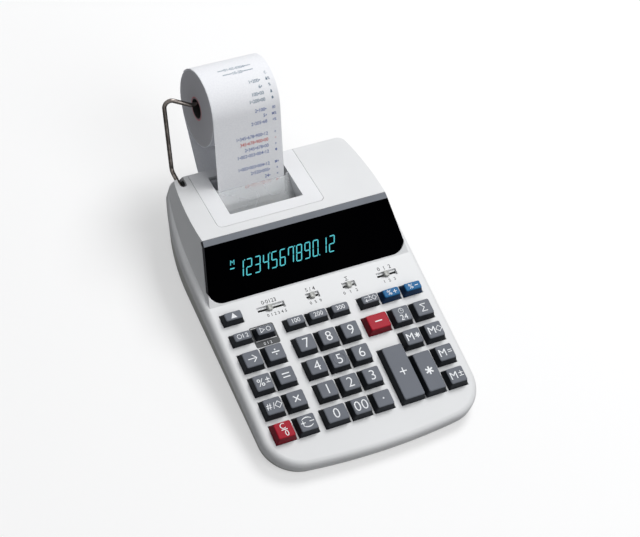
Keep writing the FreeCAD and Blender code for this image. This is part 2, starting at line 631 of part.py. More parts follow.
for spot, (x, back) in screwSpots.items():
    seam = z["deckFrontHeight"] + (back * sinSlope - z["rimDepth"]) / cosSlope
    tip = seam + (5.5 if back < 100 else 10.0)
    bosses.append(rod(f"boss{spot}", "bossRadius", 70, x, back, "footHeight"))
    shankHoles.append(rod(f"shankHole{spot}", "screwRadius + threadGap",
                          f"{tip} - footHeight", x, back, "footHeight"))
    lowerHoles.append(rod(f"lowerHole{spot}", "screwRadius + slotGap", 60, x, back, "0"))
    headHoles.append(rod(f"headHole{spot}", "screwHead + slotGap", "screwHeadTall + 1", x, back,
                         "footHeight - 1"))
    shanks.append(fuse(f"screw{spot}",
                       rod(f"shank{spot}", "screwRadius", f"{tip} - footHeight", x, back,
                           "footHeight"),
                       rod(f"head{spot}", "screwHead", "screwHeadTall", x, back, "footHeight")))
bossSet = level(fuse("bossSet", *bosses))
upperBosses = common("upperBosses", bossSet, fuse(
    "bossRoom", extrude("bossRim", drawn("bossRimPlan", caseOutline(1.0)), Vector(0, 0, -1),
                        "rimDepth"), humpSolid("bossHump", 1.0, 5.0, 1.0, "5")))
upper = cut("upper", fuse("upperFull", upperShell, ledge, lugs, upperBosses, footBar, *ribs),
            *keyHoles, *slots, seat, window, pocket, coverSeat, opening, armSlot, axleHole,
            level(fuse("shankHoles", *shankHoles)))
place("upper_case", upper, "deck")

# lower case: a hull that tapers in, cut level at the floor
hullPlan = drawn("hullPlan", caseOutline(0.0))
hullPlan.Placement.Base.z = -z["rimDepth"]
hull = extrude("hull", hullPlan, Vector(0, 0, -1), "hullDepth", "0", "-hullTaper")
hullHollowPlan = drawn("hullHollowPlan", caseOutline(z["wall"]))
hullHollowPlan.Placement.Base.z = -z["rimDepth"]
hullHollow = extrude("hullHollow", hullHollowPlan, Vector(0, 0, -1), "hullDepth", "0",
                     "-hullTaper")
farFront, farBack = -20.0, 300.0


def under(name, levelHeight):
    """Everything below a level plane, as seen from the deck frame."""
    return across(name, [(farFront, floorIn(farFront, levelHeight)),
                         (farBack, floorIn(farBack, levelHeight)), (farBack, -120.0),
                         (farFront, -120.0)], -120.0, 120.0)


lowerOuter = cut("lowerOuter", hull, under("underFloor", z["footHeight"]))
floorTop = z["footHeight"] + z["wall"]
lowerHollow = cut("lowerHollow", hullHollow, under("underFloorTop", floorTop))
postSpots = [(-80, 27), (80, 27), (-80, 137), (80, 137), (0, 90)]
posts = [rod(f"post{i}", 2.5, f"{boardLow} - {floorIn(back, floorTop - 1)}", x, back,
             floorIn(back, floorTop - 1)) for i, (x, back) in enumerate(postSpots)]
pillars = level(fuse("pillars", *[
    rod(f"pillar{i}", 3.0, f"frameFloor - {floorTop - 1}", x, y, floorTop - 1)
    for i, (x, y) in enumerate(((-50, 204), (20, 204), (-50, 242), (20, 242)))]))
lowerBosses = common("lowerBosses", level(fuse("bossSetLow", *[
    rod(f"bossLow{spot}", "bossRadius", 60, x, back, "footHeight")
    for spot, (x, back) in screwSpots.items()])), lowerOuter)
collar = common("collar", level(rod("collarRod", "inletRadius + wall", 14, "inletX", 243,
                                    "inletHeight", "y")), lowerOuter)
inletHole = level(rod("inletHole", "inletRadius", 40, "inletX", 230, "inletHeight", "y"))
feedSlot = level(box("feedSlot", "tapeMiddle - tapeWidth / 2 - 1.5", 249, 33.2,
                     "tapeWidth + 3", 14, 12))
lower = cut("lower", fuse("lowerFull", cut("lowerShell", lowerOuter, lowerHollow), *posts,
                          pillars, lowerBosses, collar), inletHole, feedSlot,
            level(fuse("lowerHoleSet", *lowerHoles)), level(fuse("headHoleSet", *headHoles)))
place("lower_case", lower, "deck")

# ---------------------------------------------------------------- boards, feet, screws

board = box("board", -84, 22, boardLow, 168, 120, "boardThick")
place("main_board", grouped("boardSet", board), "deck")
pad = fuse("pad", box("padSheet", -82, 24, boardTop, 164, 115, "padThick"), *pips)
place("key_pad", pad, "deck")
feetSolids = [rod(f"foot{i}", "footRadius", "footHeight", x, y, 0)
              for i, (x, y) in enumerate(((-68, 24), (68, 24), (-62, 226), (62, 226)))]
place("feet", grouped("feetSet", *feetSolids), "stand")
place("screws", grouped("screwSet", *shanks), "stand")

# ---------------------------------------------------------------- transformer

coreDeep = z["transformerDeep"] / 2
windowHigh = z["transformerTall"] - 12
tx, ty = 41.0, 204.0
core = cut("core", box("coreBlock", tx, ty + coreDeep / 2, floorTop, "transformerWide",
                       coreDeep, "transformerTall"),
           box("coreWindow", tx + 6, ty, floorTop + 6, "transformerWide - 12", 40, windowHigh))
coil = box("coil", tx + 6, ty + 2, floorTop + 6, "transformerWide - 12",
           "transformerDeep - 4", windowHigh)
place("transformer", fuse("transformerWhole", core, coil), "stand")

# ---------------------------------------------------------------- printer mechanism

frameWide = f"frameRight - frameLeft + plateThick"
framePlates = [box(f"framePlate{i}", x, "frameFront", "frameFloor", "plateThick",
                   "frameBack - frameFront", "frameTop - frameFloor")
               for i, x in enumerate(("frameLeft", "frameRight"))]
frameBase = box("frameBase", "frameLeft", "frameFront", "frameFloor", frameWide,
                "frameBack - frameFront", "plateThick")
guideRod = rod("guideRod", "rodRadius", frameWide, "frameLeft", "rodBack", "rodHeight", "x")
# the platen touches the back of the strip, whose front line runs straight up to the roll
tapeRound = z["rollRadius"] + z["tapeLift"]
leanDir = (math.sin(math.radians(z["tapeLean"])), math.cos(math.radians(z["tapeLean"])))
platenRound = z["platenRadius"] + z["stripGap"]
platenHeight = z["platenHeight"]
platenBack = z["rollBack"] - (
    tapeRound - platenRound + (z["rollHeight"] - platenHeight) * leanDir[0]) / leanDir[1]
shaftHoles = rod("shaftHoles", "platenShaft + runGap", f"{frameWide} + 4", "frameLeft - 2",
                 platenBack, platenHeight, "x")
place("printer_frame", cut("printerFrame", fuse("frameWhole", *framePlates, frameBase,
                                                guideRod), shaftHoles), "stand")
platen = fuse("platen",
              rod("platenRubber", "platenRadius", "tapeWidth + 4.4",
                  "tapeMiddle - tapeWidth / 2 - 2.2", platenBack, platenHeight, "x"),
              rod("platenShaftRod", "platenShaft", f"{frameWide} + 3", "frameLeft - 1.5",
                  platenBack, platenHeight, "x"))
place("platen_roller", platen, "stand")
carriageLow = "rodHeight - carriageTall / 2"
carriageBody = box("carriageBody", "carriageRest - carriageWide / 2",
                   "rodBack - carriageDeep / 2", carriageLow, "carriageWide", "carriageDeep",
                   "carriageTall")
carriageBore = rod("carriageBore", "rodRadius + runGap", 30,
                   "carriageRest - carriageWide / 2 - 5", "rodBack", "rodHeight", "x")
inkPin = rod("inkPinRod", "inkPin", "inkTall", "carriageRest", "rodBack - 1",
             "rodHeight + carriageTall / 2 - 1")
place("print_carriage", fuse("carriage", cut("carriageBored", carriageBody, carriageBore),
                             inkPin), "stand")
inkLow = "rodHeight + carriageTall / 2 + 0.3"
ink = cut("ink", rod("inkBody", "inkRadius", "inkTall", "carriageRest", "rodBack - 1", inkLow),
          rod("inkBore", "inkPin + runGap", "inkTall + 2", "carriageRest", "rodBack - 1",
              inkLow))
place("ink_roller", ink, "stand")

# ---------------------------------------------------------------- paper arm, roll and strip

tapeLow = z["tapeMiddle"] - z["tapeWidth"] / 2
roll = cut("roll", rod("rollBody", "rollRadius", "tapeWidth", "tapeMiddle - tapeWidth / 2",
                       "rollBack", "rollHeight", "x"),
           rod("rollBoreRod", "rollBore", "tapeWidth + 4", "tapeMiddle - tapeWidth / 2 - 2",
               "rollBack", "rollHeight", "x"))
place("paper_roll", roll, "stand")


def rounded(points, radii):
    """Path of straight runs joined by arcs, one radius for each inner corner."""
    edges, start = [], points[0]
    for corner, after, radius in zip(points[1:-1], points[2:], radii):
        before = (start - corner).normalize()
        onward = (after - corner).normalize()
        half = before.getAngle(onward) / 2
        reach = radius / math.tan(half)
        first, last = corner + before * reach, corner + onward * reach
        toCentre = (before + onward).normalize()
        centre = corner + toCentre * (radius / math.sin(half))
        middle = centre - toCentre * radius
        edges += [Part.LineSegment(start, first).toShape(), Part.Arc(first, middle, last).toShape()]
        start = last
    edges.append(Part.LineSegment(start, points[-1]).toShape())
    return Part.Wire(edges)


hubHeight = z["rollHeight"] + z["rollBore"] - z["wireRadius"] - z["feedGap"]
hubX = tapeLow - 5.0
armPoints = [
    Vector(armX, armY, armZ), Vector(armX, z["armBendBack"], z["armBendHeight"]),
    Vector(armX - z["armLean"], z["armTopBack"], z["armTopHeight"]),
    Vector(hubX, z["rollBack"], hubHeight), Vector(tapeLow + 54, z["rollBack"], hubHeight)]
armPath = rounded(armPoints, (5.0, 5.5, 5.0))
ring = Part.Wire(Part.Circle(armPoints[0], Vector(0, 1, 0), z["wireRadius"]).toShape())
wireSolid = armPath.makePipeShell([ring], True, False)
armWire = drawn("armWire", wireSolid)
axle = rod("armAxle", "wireRadius", "2 * (lugSpace + lugThick) + 0.6",
           "armSide - lugSpace - lugThick - 0.3", "armPivotBack", "armPivotHeight", "x")
place("paper_arm", fuse("paperArm", armWire, axle), "stand")

# the strip: off the back of the roll, in through the rear wall, round the platen, up out of
# the mouth and over the roll
around = z["rollRadius"] + z["tapeThick"] / 2 + z["feedGap"]
entry = (267.0, 41.6)
slotPoint = (256.5, 36.4)


def tangentPoint(centre, radius, outside, side):
    """Where the line from a point touches a circle."""
    dy, dz = outside[0] - centre[0], outside[1] - centre[1]
    angle = math.atan2(dz, dy) + side * math.acos(radius / math.hypot(dy, dz))
    return (centre[0] + radius * math.cos(angle), centre[1] + radius * math.sin(angle))


def crossing(p, d, q, e):
    """Where the line from p along d meets the line from q along e."""
    t = ((q[0] - p[0]) * e[1] - (q[1] - p[1]) * e[0]) / (d[0] * e[1] - d[1] * e[0])
    return (p[0] + d[0] * t, p[1] + d[1] * t)


rollCentre = (z["rollBack"], z["rollHeight"])
platenCentre = (platenBack, platenHeight)
leave = tangentPoint(rollCentre, around, entry, 1)
below = tangentPoint(platenCentre, platenRound, slotPoint, -1)
towards = (below[0] - slotPoint[0], below[1] - slotPoint[1])
frontPoint = (platenCentre[0] - platenRound * leanDir[1],
              platenCentre[1] + platenRound * leanDir[0])
turn = crossing(slotPoint, towards, frontPoint, leanDir)
tailAngle = math.radians(-62.0)
tailDir = (math.cos(tailAngle), math.sin(tailAngle))
overFront = (rollCentre[0] - tapeRound * leanDir[1], rollCentre[1] + tapeRound * leanDir[0])
overBack = (rollCentre[0] - tapeRound * tailDir[1], rollCentre[1] + tapeRound * tailDir[0])
over = crossing(overFront, leanDir, overBack, tailDir)
tail = (overBack[0] + tailDir[0] * 4.0, overBack[1] + tailDir[1] * 4.0)
stripPoints = [Vector(tapeLow, *point) for point in (leave, entry, slotPoint, turn, over, tail)]
stripPath = rounded(stripPoints, (8.0, 8.0, platenRound, tapeRound))
stripFace = stripPath.makeOffset2D(z["tapeThick"], 0, True, True)
stripLine = drawn("stripLine", stripFace)
strip = doc.addObject("Part::Extrusion", "strip")
strip.Base = stripLine
strip.DirMode = "Custom"
strip.Dir = Vector(1, 0, 0)
strip.Solid = True
bind(strip, {"LengthFwd": "tapeWidth"})
place("paper_strip", strip, "stand")

# ---------------------------------------------------------------- checks and export

doc.recompute()
carriageFar = z["carriageRest"] - z["carriageTravel"] - z["carriageWide"] / 2
if carriageFar < z["frameLeft"] + z["plateThick"]:
    raise ValueError("the carriage would run into the frame")
for thing in doc.Objects:
    if "Invalid" in thing.State or "Error" in thing.State:
        raise ValueError(f"{thing.Name} did not compute: {thing.State}")
os.makedirs("parts", exist_ok=True)
for label, thing in subParts.items():
    if thing.Shape.isNull() or not thing.Shape.isValid():
        raise ValueError(f"{label} has no valid shape")
    thing.Shape.exportStep(f"parts/{label}.step")
print(len(subParts), "sub-parts")
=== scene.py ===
import bpy
import json
import math
from mathutils import Matrix, Quaternion, Vector


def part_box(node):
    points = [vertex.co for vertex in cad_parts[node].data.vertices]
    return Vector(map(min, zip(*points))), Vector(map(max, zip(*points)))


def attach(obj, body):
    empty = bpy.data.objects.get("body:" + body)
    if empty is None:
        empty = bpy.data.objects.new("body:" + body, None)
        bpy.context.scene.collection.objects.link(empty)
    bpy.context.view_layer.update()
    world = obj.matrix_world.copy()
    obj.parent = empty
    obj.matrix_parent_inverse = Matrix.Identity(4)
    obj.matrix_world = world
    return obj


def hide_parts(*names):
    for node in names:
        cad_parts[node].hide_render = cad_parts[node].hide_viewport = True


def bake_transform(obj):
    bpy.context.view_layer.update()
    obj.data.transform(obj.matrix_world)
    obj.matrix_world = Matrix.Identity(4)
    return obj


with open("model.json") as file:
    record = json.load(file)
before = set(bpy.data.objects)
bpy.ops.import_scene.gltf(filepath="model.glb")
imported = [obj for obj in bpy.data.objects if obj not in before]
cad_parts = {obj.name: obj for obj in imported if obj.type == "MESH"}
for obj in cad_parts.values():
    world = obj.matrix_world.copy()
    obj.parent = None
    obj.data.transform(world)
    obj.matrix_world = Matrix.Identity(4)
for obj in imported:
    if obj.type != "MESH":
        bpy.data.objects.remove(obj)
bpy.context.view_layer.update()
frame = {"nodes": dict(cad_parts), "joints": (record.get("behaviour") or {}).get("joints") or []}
nodes = frame["nodes"]
joints = {joint["name"]: joint for joint in frame["joints"]}
bpy.ops.object.select_all(action="DESELECT")
mm = 0.001
print("frame loaded:", len(nodes), "nodes")

# the sloping keyboard deck as a frame of its own, read from the way a key is pressed
deckUp = -Vector(joints["key_7_press"]["axis"]).normalized()
deckBack = deckUp.cross(Vector((1, 0, 0))).normalized()
capRise = 6.5 * mm  # a key's top above the deck


def deckCorners(node):
    # lowest and highest corner of a node, seen square to the deck
    spots = [vertex.co for vertex in nodes[node].data.vertices]
    rows = [(p.x, p.dot(deckBack), p.dot(deckUp)) for p in spots]
    return (Vector([min(r[i] for r in rows) for i in range(3)]),
            Vector([max(r[i] for r in rows) for i in range(3)]))


deckLevel = deckCorners("key_7")[1].z - capRise


def turnTo(up, out):
    # the turn that lays a flat piece against a face: its x stays x, its y goes up, its z out
    return Matrix((Vector((1, 0, 0)), up, out)).transposed().to_4x4()


def onDeck(x, along, height):
    return Vector((x, 0, 0)) + deckBack * along + deckUp * (deckLevel + height)


def deckMatrix(x, along, height):
    return Matrix.Translation(onDeck(x, along, height)) @ turnTo(deckBack, deckUp)


# the display window as a second frame: x, distance up from its foot, distance out of it
windowFaces = [face for face in nodes["display_lens"].data.polygons
               if face.normal.y < -0.5 and face.normal.z > 0.5]
windowFace = max(windowFaces, key=lambda face: face.area)
windowOut = windowFace.normal.normalized()
windowUp = windowOut.cross(Vector((1, 0, 0)))
windowLevel = windowFace.center.dot(windowOut)
windowFoot = min(vertex.co.dot(windowUp) for vertex in nodes["display_lens"].data.vertices
                 if abs(vertex.co.dot(windowOut) - windowLevel) < 0.05 * mm)


def windowMatrix(x, up, out):
    spot = Vector((x, 0, 0)) + windowUp * (windowFoot + up) + windowOut * (windowLevel + out)
    return Matrix.Translation(spot) @ turnTo(windowUp, windowOut)


def linear(hexColour):
    # sRGB hex to the linear colour that the shaders take
    channels = [int(hexColour[i:i + 2], 16) / 255 for i in (1, 3, 5)]
    return (*[c / 12.92 if c <= 0.04045 else ((c + 0.055) / 1.055) ** 2.4 for c in channels], 1)


def addNode(tree, kind, settings=None, links=None):
    # one shader node: settings by attribute or input, links as input: (node, output)
    node = tree.nodes.new(kind)
    for name, value in (settings or {}).items():
        if isinstance(name, int) or name in node.inputs:
            node.inputs[name].default_value = value
        else:
            setattr(node, name, value)
    for name, (source, output) in (links or {}).items():
        tree.links.new(source.outputs[output], node.inputs[name])
    return node


def newMaterial(name, settings):
    material = bpy.data.materials.new(name)
    material.use_nodes = True
    tree = material.node_tree
    tree.nodes.clear()
    shader = addNode(tree, "ShaderNodeBsdfPrincipled", settings)
    addNode(tree, "ShaderNodeOutputMaterial", links={"Surface": (shader, "BSDF")})
    return material, tree, shader


def place(tree):
    return addNode(tree, "ShaderNodeTexCoord"), "Object"


def ramp(tree, source, stops, interpolation="LINEAR"):
    # colour ramp on a node's output; stops are (position, hex colour)
    node = addNode(tree, "ShaderNodeValToRGB", links={"Fac": source})
    node.color_ramp.interpolation = interpolation
    elements = node.color_ramp.elements
    while len(elements) < len(stops):
        elements.new(0.5)
    for element, (position, colour) in zip(elements, stops):
        element.position = position
        element.color = linear(colour)
    return node


def cloud(tree, shader, where, scale, stops, detail=2.0, target="Base Color"):
    # a noise that drifts between two colours; the noise comes back for other uses
    noise = addNode(tree, "ShaderNodeTexNoise", {"Scale": scale, "Detail": detail},
                    {"Vector": where})
    tint = ramp(tree, (noise, "Fac"), stops)
    tree.links.new(tint.outputs["Color"], shader.inputs[target])
    return noise


def unevenGloss(tree, shader, noise, low, high):
    gloss = addNode(tree, "ShaderNodeMapRange", {"To Min": low, "To Max": high},
                    {"Value": (noise, "Fac")})
    tree.links.new(gloss.outputs["Result"], shader.inputs["Roughness"])


def fineRelief(tree, shader, noise, strength, depthMm):
    bump = addNode(tree, "ShaderNodeBump", {"Strength": strength, "Distance": depthMm * mm},
                   {"Height": (noise, "Fac")})
    tree.links.new(bump.outputs["Normal"], shader.inputs["Normal"])


def mouldedPlastic(name, base, darker, roughness, grainMm, grainDepth, shine=0.5):
    # ABS from a spark-eroded mould: a fine even grain breaks the gloss, colour drifts a little
    material, tree, shader = newMaterial(name, {
        "Roughness": roughness, "IOR": 1.54, "Specular IOR Level": shine})
    where = place(tree)
    drift = cloud(tree, shader, where, 22.0, [(0.3, darker), (0.7, base)], detail=3.0)
    grain = addNode(tree, "ShaderNodeTexNoise", {"Scale": 1 / (grainMm * mm), "Detail": 2.0},
                    {"Vector": where})
    fineRelief(tree, shader, grain, 0.35, grainDepth)
    unevenGloss(tree, shader, drift, roughness - 0.05, roughness + 0.08)
    return material


caseAbs = mouldedPlastic("caseAbs", "#dfe0e1", "#dadbdc", 0.42, 0.7, 0.03)
coverAbs = mouldedPlastic("coverAbs", "#e4e5e7", "#dfe0e2", 0.40, 0.7, 0.03)
hullAbs = mouldedPlastic("hullAbs", "#c9cac6", "#c2c3bf", 0.48, 0.9, 0.04)
# each key colour has a top copy and a darker side copy; the darker side copy is painted shade on
# the keys' sides
keyTopAbs = mouldedPlastic("keyTopAbs", "#70747c", "#696d75", 0.42, 0.6, 0.02, 0.1)
keySidePaintedShade = mouldedPlastic("keySidePaintedShade", "#25282d", "#1f2226", 0.5, 0.6, 0.02, 0.1)
redTopAbs = mouldedPlastic("redTopAbs", "#ab152c", "#a21228", 0.36, 0.6, 0.02, 0.1)
redSidePaintedShade = mouldedPlastic("redSidePaintedShade", "#7a1022", "#700e1e", 0.42, 0.6, 0.02, 0.1)
blueTopAbs = mouldedPlastic("blueTopAbs", "#256a9e", "#206293", 0.36, 0.6, 0.02, 0.1)
blueSidePaintedShade = mouldedPlastic("blueSidePaintedShade", "#153354", "#122d4b", 0.42, 0.6, 0.02, 0.1)
knobAbs = mouldedPlastic("knobAbs", "#b9bab6", "#b0b1ad", 0.40, 0.6, 0.02)
blackNylon = mouldedPlastic("blackNylon", "#1a1b1c", "#151617", 0.50, 0.8, 0.03)
greyNylon = mouldedPlastic("greyNylon", "#c3c5cb", "#b9bbc1", 0.46, 0.8, 0.03)
nitrileRubber = mouldedPlastic("nitrileRubber", "#1c1c1d", "#171718", 0.72, 0.5, 0.05)
paintedSteel = mouldedPlastic("paintedSteel", "#e3e4e6", "#dcdddf", 0.5, 1.2, 0.01)
siliconeRubber = mouldedPlastic("siliconeRubber", "#8d8e8a", "#858682", 0.62, 0.8, 0.03)
greyRubber = mouldedPlastic("greyRubber", "#8b8d90", "#828487", 0.7, 0.5, 0.04)
whiteInk = mouldedPlastic("whiteInk", "#eef0f2", "#e6e8ea", 0.55, 0.4, 0.01)
darkInk = mouldedPlastic("darkInk", "#3c3e40", "#36383a", 0.60, 0.4, 0.01)
ribbonBlue = mouldedPlastic("ribbonBlue", "#5a70b0", "#4f65a6", 0.8, 0.4, 0.01)
ribbonGrey = mouldedPlastic("ribbonGrey", "#5f7a90", "#556f86", 0.8, 0.4, 0.01)
ribbonRed = mouldedPlastic("ribbonRed", "#d0483f", "#c63f37", 0.8, 0.4, 0.01)


def smokedAcrylic():
    # moulded smoked acrylic: so dark inside that the window reads as one even black
    material, tree, shader = newMaterial("smokedAcrylic", {
        "Roughness": 0.1, "IOR": 1.49, "Specular IOR Level": 0.0})
    haze = cloud(tree, shader, place(tree), 14.0, [(0.3, "#010102"), (0.7, "#030304")])
    unevenGloss(tree, shader, haze, 0.08, 0.14)
    return material


lensAcrylic = smokedAcrylic()
# the window's sloped top edge is painted paler grey: painted light on the edge
paintedLightEdge = mouldedPlastic("paintedLightEdge", "#6f747c", "#686d75", 0.3, 0.9, 0.01)
# the window's rounded ends are painted a dark blue a little lighter than the face: painted
# highlight
paintedHighlightEnd = mouldedPlastic("paintedHighlightEnd", "#1a1c26", "#14151d", 0.2, 0.9, 0.01)


def litPhosphor():
    # vacuum display phosphor: blue-green light from a slightly uneven coat
    material, tree, shader = newMaterial("litPhosphor", {
        "Roughness": 0.4, "Emission Strength": 0.85})
    cloud(tree, shader, place(tree), 700.0, [(0.3, "#1cb9c6"), (0.7, "#35cfd8")],
          target="Emission Color")
    shader.inputs["Base Color"].default_value = linear("#123034")
    return material


phosphor = litPhosphor()


def drawnWire():
    # nickel-chrome plated steel wire: bright, with a faint unevenness left from drawing
    material, tree, shader = newMaterial("chromeWire", {"Metallic": 1.0, "Roughness": 0.1})
    lines = cloud(tree, shader, place(tree), 260.0, [(0.35, "#5a5552"), (0.65, "#7c7672")])
    unevenGloss(tree, shader, lines, 0.12, 0.24)
    return material


chromeWire = drawnWire()


def rolledSteel(name, light, dark, roughness):
    # cold rolled sheet: a soft metal sheen with streaks along the rolling direction
    material, tree, shader = newMaterial(name, {"Metallic": 1.0, "Roughness": roughness})
    stretch = addNode(tree, "ShaderNodeMapping", {"Scale": (40.0, 900.0, 900.0)},
                      {"Vector": place(tree)})
    streak = cloud(tree, shader, (stretch, "Vector"), 1.0, [(0.3, dark), (0.7, light)],
                   detail=3.0)
    unevenGloss(tree, shader, streak, roughness - 0.06, roughness + 0.1)
    return material


coreSteel = rolledSteel("coreSteel", "#6d6a66", "#55524f", 0.5)
zincSteel = rolledSteel("zincSteel", "#c3c5c4", "#a9abaa", 0.3)


def bondPaper():
    # uncoated wood-free paper: soft white with the faint cloud of its fibres
    material, tree, shader = newMaterial("bondPaper", {"Roughness": 0.85, "IOR": 1.45})
    fibres = cloud(tree, shader, place(tree), 900.0, [(0.35, "#f2f3f7"), (0.65, "#f8f9fc")],
                   detail=4.0)
    fineRelief(tree, shader, fibres, 0.2, 0.02)
    return material


tapePaper = bondPaper()


def woundPaper():
    # the cut side of a paper roll: fine rings where the layers end, a pink line, and the bore
    # painted near-black as painted shade
    centre = Vector(joints["roll_spin"]["pos_m"])
    low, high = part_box("paper_roll")
    outer = (high.z - low.z) / 2
    material, tree, shader = newMaterial("woundPaper", {"Roughness": 0.8, "IOR": 1.45})
    centred = addNode(tree, "ShaderNodeMapping", {"Location": (0, -centre.y, -centre.z)},
                      {"Vector": place(tree)})
    parts = addNode(tree, "ShaderNodeSeparateXYZ", links={"Vector": (centred, "Vector")})
    flat = addNode(tree, "ShaderNodeCombineXYZ", links={"Y": (parts, "Y"), "Z": (parts, "Z")})
    radius = addNode(tree, "ShaderNodeVectorMath", {"operation": "LENGTH"},
                     {0: (flat, "Vector")})
    share = addNode(tree, "ShaderNodeMath", {"operation": "DIVIDE", 1: outer},
                    {0: (radius, "Value")})
    # the first stop paints the bore near-black: painted shade
    tone = ramp(tree, (share, "Value"), [
        (0.255, "#100e0f"), (0.258, "#8f8084"), (0.283, "#938488"), (0.288, "#cf7a82"),
        (0.306, "#cf7a82"), (0.312, "#b9b9be"), (0.6, "#c0c0c5"), (0.97, "#c6c6cb"),
        (0.988, "#eceef5")])
    ringMm = 0.8  # real layers are 0.07 mm; drawn this wide so that they show
    turnsPerMetre = 2 * math.pi / (ringMm * mm)
    layer = addNode(tree, "ShaderNodeMath", {"operation": "MULTIPLY", 1: turnsPerMetre},
                    {0: (radius, "Value")})
    wave = addNode(tree, "ShaderNodeMath", {"operation": "SINE"}, {0: (layer, "Value")})
    shade = addNode(tree, "ShaderNodeMapRange", {"From Min": -1.0, "To Min": 0.95, "To Max": 1.0},
                    {"Value": (wave, "Value")})
    mixed = addNode(tree, "ShaderNodeMix", {"data_type": "RGBA", "blend_type": "MULTIPLY",
                                            "Factor": 1.0})
    tree.links.new(tone.outputs["Color"], mixed.inputs[6])
    tree.links.new(shade.outputs["Result"], mixed.inputs[7])
    tree.links.new(mixed.outputs[2], shader.inputs["Base Color"])
    return material


rollPaper = woundPaper()


def clearPlate():
    # injection moulded clear polystyrene: see-through and bright, with a slight cool tint
    material, tree, shader = newMaterial("clearPolystyrene", {
        "Roughness": 0.08, "IOR": 1.5, "Alpha": 0.28})
    cloud(tree, shader, place(tree), 60.0, [(0.3, "#eef2f4"), (0.7, "#f8fafb")])
    return material


clearStyrene = clearPlate()


def glassFibreBoard():
    # glass cloth pressed in epoxy under green lacquer: an even green with the weave in it
    material, tree, shader = newMaterial("glassFibreBoard", {"Roughness": 0.38, "IOR": 1.5})
    cloud(tree, shader, place(tree), 500.0, [(0.35, "#1c4a2a"), (0.65, "#24593a")])
    return material


boardLaminate = glassFibreBoard()


def tubeGlass():
    # drawn soda glass envelope with a dark getter behind it
    material, tree, shader = newMaterial("tubeGlass", {
        "Roughness": 0.08, "IOR": 1.5, "Coat Weight": 0.5})
    cloud(tree, shader, place(tree), 80.0, [(0.3, "#16211f"), (0.7, "#1e2b29")])
    return material


drawnGlass = tubeGlass()
print("materials made:", len(bpy.data.materials))


def dress(obj, *materials):
    obj.data.materials.clear()
    for material in materials:
        obj.data.materials.append(material)


nodeFinish = {
    "upper_case": caseAbs, "lower_case": hullAbs, "printer_cover": coverAbs,
    "display_lens": lensAcrylic, "display_tube": drawnGlass, "paper_arm": chromeWire,
    "paper_roll": rollPaper, "paper_strip": tapePaper, "tear_bar": clearStyrene,
    "platen_roller": greyRubber, "printer_frame": paintedSteel, "print_carriage": greyNylon,
    "ink_roller": blackNylon, "main_board": boardLaminate, "key_pad": siliconeRubber,
    "transformer": coreSteel, "feet": nitrileRubber, "screws": zincSteel,
    "switch_decimal": knobAbs, "switch_rounding": knobAbs, "switch_total": knobAbs,
    "switch_power": knobAbs}
for node, material in nodeFinish.items():
    dress(nodes[node], material)


def pick(obj):
    bpy.ops.object.select_all(action="DESELECT")
    obj.select_set(True)
    bpy.context.view_layer.objects.active = obj


def startEdit(obj, mode="FACE"):
    pick(obj)
    bpy.ops.object.mode_set(mode="EDIT")
    bpy.ops.mesh.select_mode(type=mode)
    bpy.ops.mesh.select_all(action="DESELECT")


def chooseFaces(obj, test):
    # in edit mode, select only the faces that pass a test on centre and normal
    bpy.ops.object.mode_set(mode="OBJECT")
    for face in obj.data.polygons:
        face.select = test(face.center, face.normal)
    bpy.ops.object.mode_set(mode="EDIT")


def chooseEdges(obj, test):
    bpy.ops.object.mode_set(mode="OBJECT")
    for face in obj.data.polygons:
        face.select = False
    for edge in obj.data.edges:
        edge.select = test(*[obj.data.vertices[i].co for i in edge.vertices])
    bpy.ops.object.mode_set(mode="EDIT")


def applyModifier(obj, kind, settings):
    modifier = obj.modifiers.new(kind.lower(), kind)
    for name, value in settings.items():
        setattr(modifier, name, value)
    pick(obj)
    bpy.ops.object.modifier_apply(modifier=modifier.name)


def settle(obj, matrix):
    # put a finished piece in its place, with the place in its mesh
    obj.data.transform(matrix)
    obj.matrix_world = Matrix.Identity(4)
    return obj


def smooth(obj, degrees=35):
    pick(obj)
    bpy.ops.object.shade_smooth_by_angle(angle=math.radians(degrees))


def addBlock(name, low, high):
    bpy.ops.object.select_all(action="DESELECT")
    centre = (Vector(low) + Vector(high)) / 2
    bpy.ops.mesh.primitive_cube_add(size=1, location=centre, scale=Vector(high) - Vector(low))
    obj = bpy.context.active_object
    bpy.ops.object.transform_apply(location=True, rotation=False, scale=True)
    obj.name = name
    return obj


def joined(name, pieces):
    bpy.ops.object.select_all(action="DESELECT")
    for piece in pieces:
        piece.select_set(True)
    bpy.context.view_layer.objects.active = pieces[0]
    if len(pieces) > 1:
        bpy.ops.object.join()
    obj = bpy.context.active_object
    obj.name = name
    return obj


def copied(obj, name):
    twin = obj.copy()
    twin.data = obj.data.copy()
    bpy.context.scene.collection.objects.link(twin)
    twin.name = name
    return twin


def finish(piece, body, slotName, *replaced):
    if replaced:
        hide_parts(*replaced)
    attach(piece, body)
    return piece


def mergedCopy(node, name):
    # a node's own shape with its loose triangles joined, ready for edge rounding
    piece = bpy.data.objects.new(name, nodes[node].data.copy())
    bpy.context.scene.collection.objects.link(piece)
    startEdit(piece)
    bpy.ops.mesh.customdata_custom_splitnormals_clear()
    bpy.ops.mesh.select_all(action="SELECT")
    bpy.ops.mesh.remove_doubles(threshold=0.002 * mm)
    bpy.ops.mesh.dissolve_limited(angle_limit=math.radians(0.4))
    bpy.ops.object.mode_set(mode="OBJECT")
    return piece


